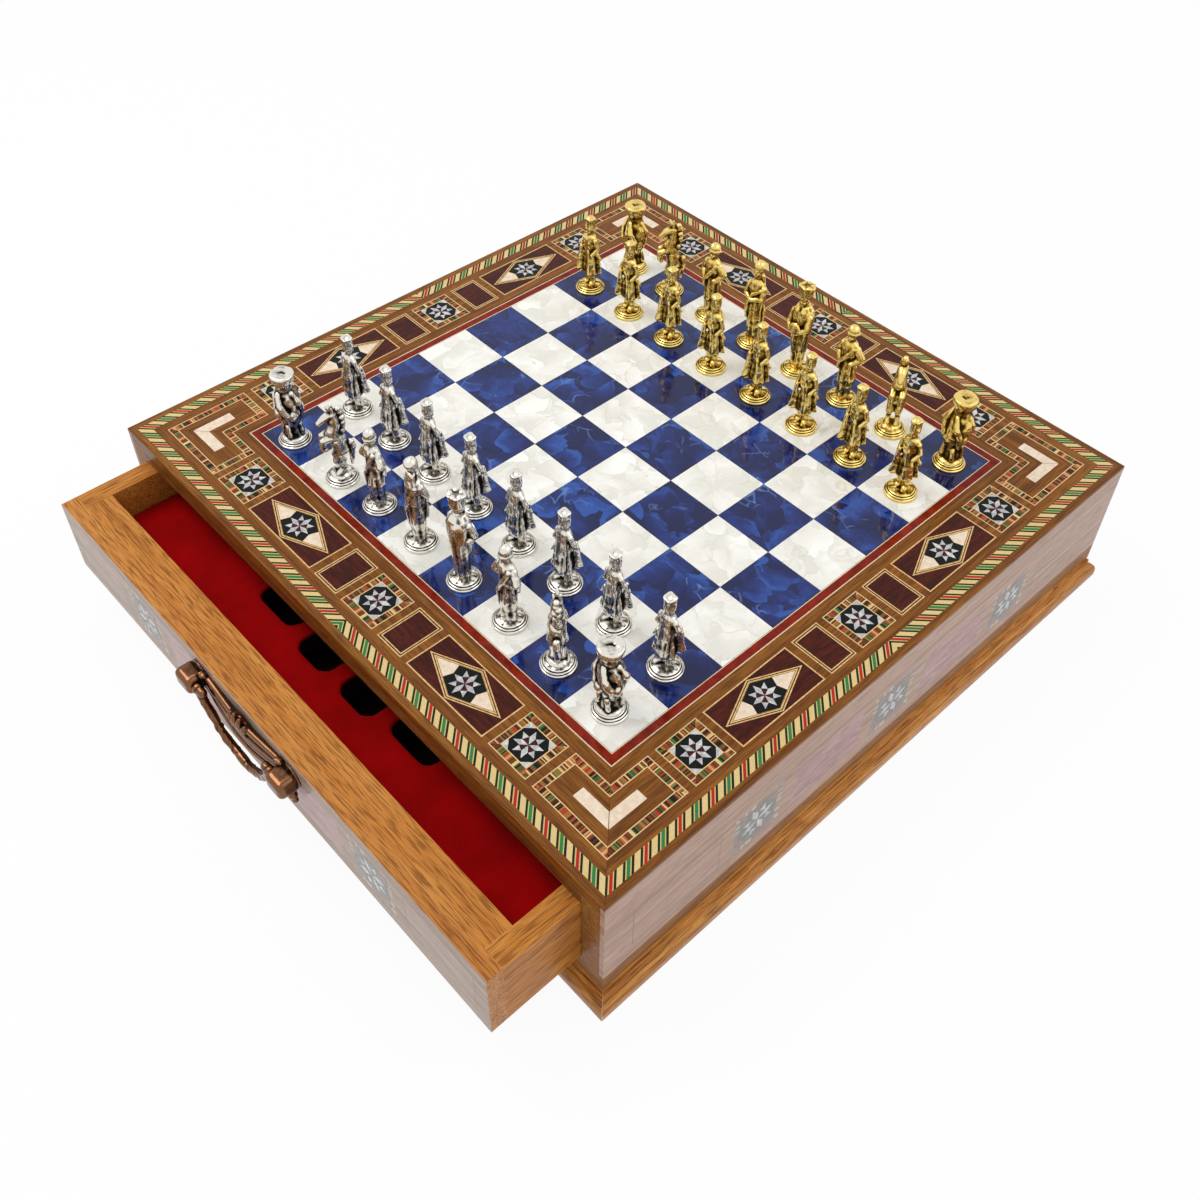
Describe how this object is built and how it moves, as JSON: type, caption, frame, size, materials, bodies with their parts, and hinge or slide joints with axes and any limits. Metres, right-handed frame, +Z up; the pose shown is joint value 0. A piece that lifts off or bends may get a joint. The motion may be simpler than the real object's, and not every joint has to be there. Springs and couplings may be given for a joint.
{
  "type": "chess box with drawers",
  "caption": "Square marquetry box with an inlaid chessboard on its lid, padded drawers with hanging pulls, and a cast set of silver and gold figure chessmen.",
  "frame": {"origin": "centre of the underside, on the surface the box stands on", "axes": "+Z up; -Y the way the open front drawer pulls out; +X to the right seen from the front"},
  "size_m": [0.452, 0.523, 0.169],
  "materials": {
    "walnut": "satin varnish",
    "oak": "satin varnish",
    "veneer": "glossy lacquer",
    "pearl": "pearly acrylic, polished",
    "blue_acrylic": "pearly acrylic, polished",
    "red_wood": "glossy lacquer",
    "striped_veneer": "glossy lacquer",
    "mosaic_veneer": "glossy lacquer",
    "dark_wood": "glossy lacquer",
    "bone": "polished",
    "velvet": "short pile",
    "copper": "antique copper plate, dark in the hollows",
    "silver": "silver plate, dark in the hollows",
    "gold": "gold plate, dark in the hollows"
  },
  "bodies": {
    "case": {"base_moulding": "oak", "bottom_boards": "walnut", "case_sides": "oak", "side_panels": "veneer", "centre_divider": "oak", "drawer_rails": "walnut", "lid_board": "oak", "lid_frame": "walnut", "white_squares": "pearl", "blue_squares": "blue_acrylic", "red_line": "red_wood", "striped_band": "striped_veneer", "mosaic_frames": "mosaic_veneer", "star_points": "pearl", "dark_inlays": "dark_wood", "cream_inlays": "bone"},
    "front_drawer": {"front_drawer_face": "veneer", "front_drawer_box": "oak", "front_face_inlay": "mosaic_veneer", "front_pad": "velvet", "front_pull": "copper"},
    "front_bail": {"front_bail": "copper"},
    "rear_drawer": {"rear_drawer_face": "veneer", "rear_drawer_box": "oak", "rear_face_inlay": "mosaic_veneer", "rear_pad": "velvet", "rear_pull": "copper"},
    "rear_bail": {"rear_bail": "copper"},
    "silver_king": {"silver_king": "silver"},
    "silver_queen": {"silver_queen": "silver"},
    "silver_bishop_1": {"silver_bishop_1": "silver"},
    "silver_bishop_2": {"silver_bishop_2": "silver"},
    "silver_knight_1": {"silver_knight_1": "silver"},
    "silver_knight_2": {"silver_knight_2": "silver"},
    "silver_rook_1": {"silver_rook_1": "silver"},
    "silver_rook_2": {"silver_rook_2": "silver"},
    "silver_pawn_1": {"silver_pawn_1": "silver"},
    "silver_pawn_2": {"silver_pawn_2": "silver"},
    "silver_pawn_3": {"silver_pawn_3": "silver"},
    "silver_pawn_4": {"silver_pawn_4": "silver"},
    "silver_pawn_5": {"silver_pawn_5": "silver"},
    "silver_pawn_6": {"silver_pawn_6": "silver"},
    "silver_pawn_7": {"silver_pawn_7": "silver"},
    "silver_pawn_8": {"silver_pawn_8": "silver"},
    "gold_king": {"gold_king": "gold"},
    "gold_queen": {"gold_queen": "gold"},
    "gold_bishop_1": {"gold_bishop_1": "gold"},
    "gold_bishop_2": {"gold_bishop_2": "gold"},
    "gold_knight_1": {"gold_knight_1": "gold"},
    "gold_knight_2": {"gold_knight_2": "gold"},
    "gold_rook_1": {"gold_rook_1": "gold"},
    "gold_rook_2": {"gold_rook_2": "gold"},
    "gold_pawn_1": {"gold_pawn_1": "gold"},
    "gold_pawn_2": {"gold_pawn_2": "gold"},
    "gold_pawn_3": {"gold_pawn_3": "gold"},
    "gold_pawn_4": {"gold_pawn_4": "gold"},
    "gold_pawn_5": {"gold_pawn_5": "gold"},
    "gold_pawn_6": {"gold_pawn_6": "gold"},
    "gold_pawn_7": {"gold_pawn_7": "gold"},
    "gold_pawn_8": {"gold_pawn_8": "gold"}
  },
  "joints": [
    {"name": "front_drawer_slide", "type": "slide", "parent": "case", "child": "front_drawer", "axis": [0, -1, 0], "range_m": [-0.057, 0.103]},
    {"name": "front_bail_hinge", "type": "hinge", "parent": "front_drawer", "child": "front_bail", "pos_m": [0, -0.2845, 0.0716], "axis": [-1, 0, 0], "range_deg": [0, 90]},
    {"name": "rear_drawer_slide", "type": "slide", "parent": "case", "child": "rear_drawer", "axis": [0, 1, 0], "range_m": [0, 0.16]},
    {"name": "rear_bail_hinge", "type": "hinge", "parent": "rear_drawer", "child": "rear_bail", "pos_m": [0, 0.2275, 0.0716], "axis": [1, 0, 0], "range_deg": [0, 90]},
    {"name": "lift_silver_king", "type": "slide", "parent": "case", "child": "silver_king", "axis": [0, 0, 1], "range_m": [0, 0.1]},
    {"name": "lift_silver_queen", "type": "slide", "parent": "case", "child": "silver_queen", "axis": [0, 0, 1], "range_m": [0, 0.1]},
    {"name": "lift_silver_bishop_1", "type": "slide", "parent": "case", "child": "silver_bishop_1", "axis": [0, 0, 1], "range_m": [0, 0.1]},
    {"name": "lift_silver_bishop_2", "type": "slide", "parent": "case", "child": "silver_bishop_2", "axis": [0, 0, 1], "range_m": [0, 0.1]},
    {"name": "lift_silver_knight_1", "type": "slide", "parent": "case", "child": "silver_knight_1", "axis": [0, 0, 1], "range_m": [0, 0.1]},
    {"name": "lift_silver_knight_2", "type": "slide", "parent": "case", "child": "silver_knight_2", "axis": [0, 0, 1], "range_m": [0, 0.1]},
    {"name": "lift_silver_rook_1", "type": "slide", "parent": "case", "child": "silver_rook_1", "axis": [0, 0, 1], "range_m": [0, 0.1]},
    {"name": "lift_silver_rook_2", "type": "slide", "parent": "case", "child": "silver_rook_2", "axis": [0, 0, 1], "range_m": [0, 0.1]},
    {"name": "lift_silver_pawn_1", "type": "slide", "parent": "case", "child": "silver_pawn_1", "axis": [0, 0, 1], "range_m": [0, 0.1]},
    {"name": "lift_silver_pawn_2", "type": "slide", "parent": "case", "child": "silver_pawn_2", "axis": [0, 0, 1], "range_m": [0, 0.1]},
    {"name": "lift_silver_pawn_3", "type": "slide", "parent": "case", "child": "silver_pawn_3", "axis": [0, 0, 1], "range_m": [0, 0.1]},
    {"name": "lift_silver_pawn_4", "type": "slide", "parent": "case", "child": "silver_pawn_4", "axis": [0, 0, 1], "range_m": [0, 0.1]},
    {"name": "lift_silver_pawn_5", "type": "slide", "parent": "case", "child": "silver_pawn_5", "axis": [0, 0, 1], "range_m": [0, 0.1]},
    {"name": "lift_silver_pawn_6", "type": "slide", "parent": "case", "child": "silver_pawn_6", "axis": [0, 0, 1], "range_m": [0, 0.1]},
    {"name": "lift_silver_pawn_7", "type": "slide", "parent": "case", "child": "silver_pawn_7", "axis": [0, 0, 1], "range_m": [0, 0.1]},
    {"name": "lift_silver_pawn_8", "type": "slide", "parent": "case", "child": "silver_pawn_8", "axis": [0, 0, 1], "range_m": [0, 0.1]},
    {"name": "lift_gold_king", "type": "slide", "parent": "case", "child": "gold_king", "axis": [0, 0, 1], "range_m": [0, 0.1]},
    {"name": "lift_gold_queen", "type": "slide", "parent": "case", "child": "gold_queen", "axis": [0, 0, 1], "range_m": [0, 0.1]},
    {"name": "lift_gold_bishop_1", "type": "slide", "parent": "case", "child": "gold_bishop_1", "axis": [0, 0, 1], "range_m": [0, 0.1]},
    {"name": "lift_gold_bishop_2", "type": "slide", "parent": "case", "child": "gold_bishop_2", "axis": [0, 0, 1], "range_m": [0, 0.1]},
    {"name": "lift_gold_knight_1", "type": "slide", "parent": "case", "child": "gold_knight_1", "axis": [0, 0, 1], "range_m": [0, 0.1]},
    {"name": "lift_gold_knight_2", "type": "slide", "parent": "case", "child": "gold_knight_2", "axis": [0, 0, 1], "range_m": [0, 0.1]},
    {"name": "lift_gold_rook_1", "type": "slide", "parent": "case", "child": "gold_rook_1", "axis": [0, 0, 1], "range_m": [0, 0.1]},
    {"name": "lift_gold_rook_2", "type": "slide", "parent": "case", "child": "gold_rook_2", "axis": [0, 0, 1], "range_m": [0, 0.1]},
    {"name": "lift_gold_pawn_1", "type": "slide", "parent": "case", "child": "gold_pawn_1", "axis": [0, 0, 1], "range_m": [0, 0.1]},
    {"name": "lift_gold_pawn_2", "type": "slide", "parent": "case", "child": "gold_pawn_2", "axis": [0, 0, 1], "range_m": [0, 0.1]},
    {"name": "lift_gold_pawn_3", "type": "slide", "parent": "case", "child": "gold_pawn_3", "axis": [0, 0, 1], "range_m": [0, 0.1]},
    {"name": "lift_gold_pawn_4", "type": "slide", "parent": "case", "child": "gold_pawn_4", "axis": [0, 0, 1], "range_m": [0, 0.1]},
    {"name": "lift_gold_pawn_5", "type": "slide", "parent": "case", "child": "gold_pawn_5", "axis": [0, 0, 1], "range_m": [0, 0.1]},
    {"name": "lift_gold_pawn_6", "type": "slide", "parent": "case", "child": "gold_pawn_6", "axis": [0, 0, 1], "range_m": [0, 0.1]},
    {"name": "lift_gold_pawn_7", "type": "slide", "parent": "case", "child": "gold_pawn_7", "axis": [0, 0, 1], "range_m": [0, 0.1]},
    {"name": "lift_gold_pawn_8", "type": "slide", "parent": "case", "child": "gold_pawn_8", "axis": [0, 0, 1], "range_m": [0, 0.1]}
  ]
}
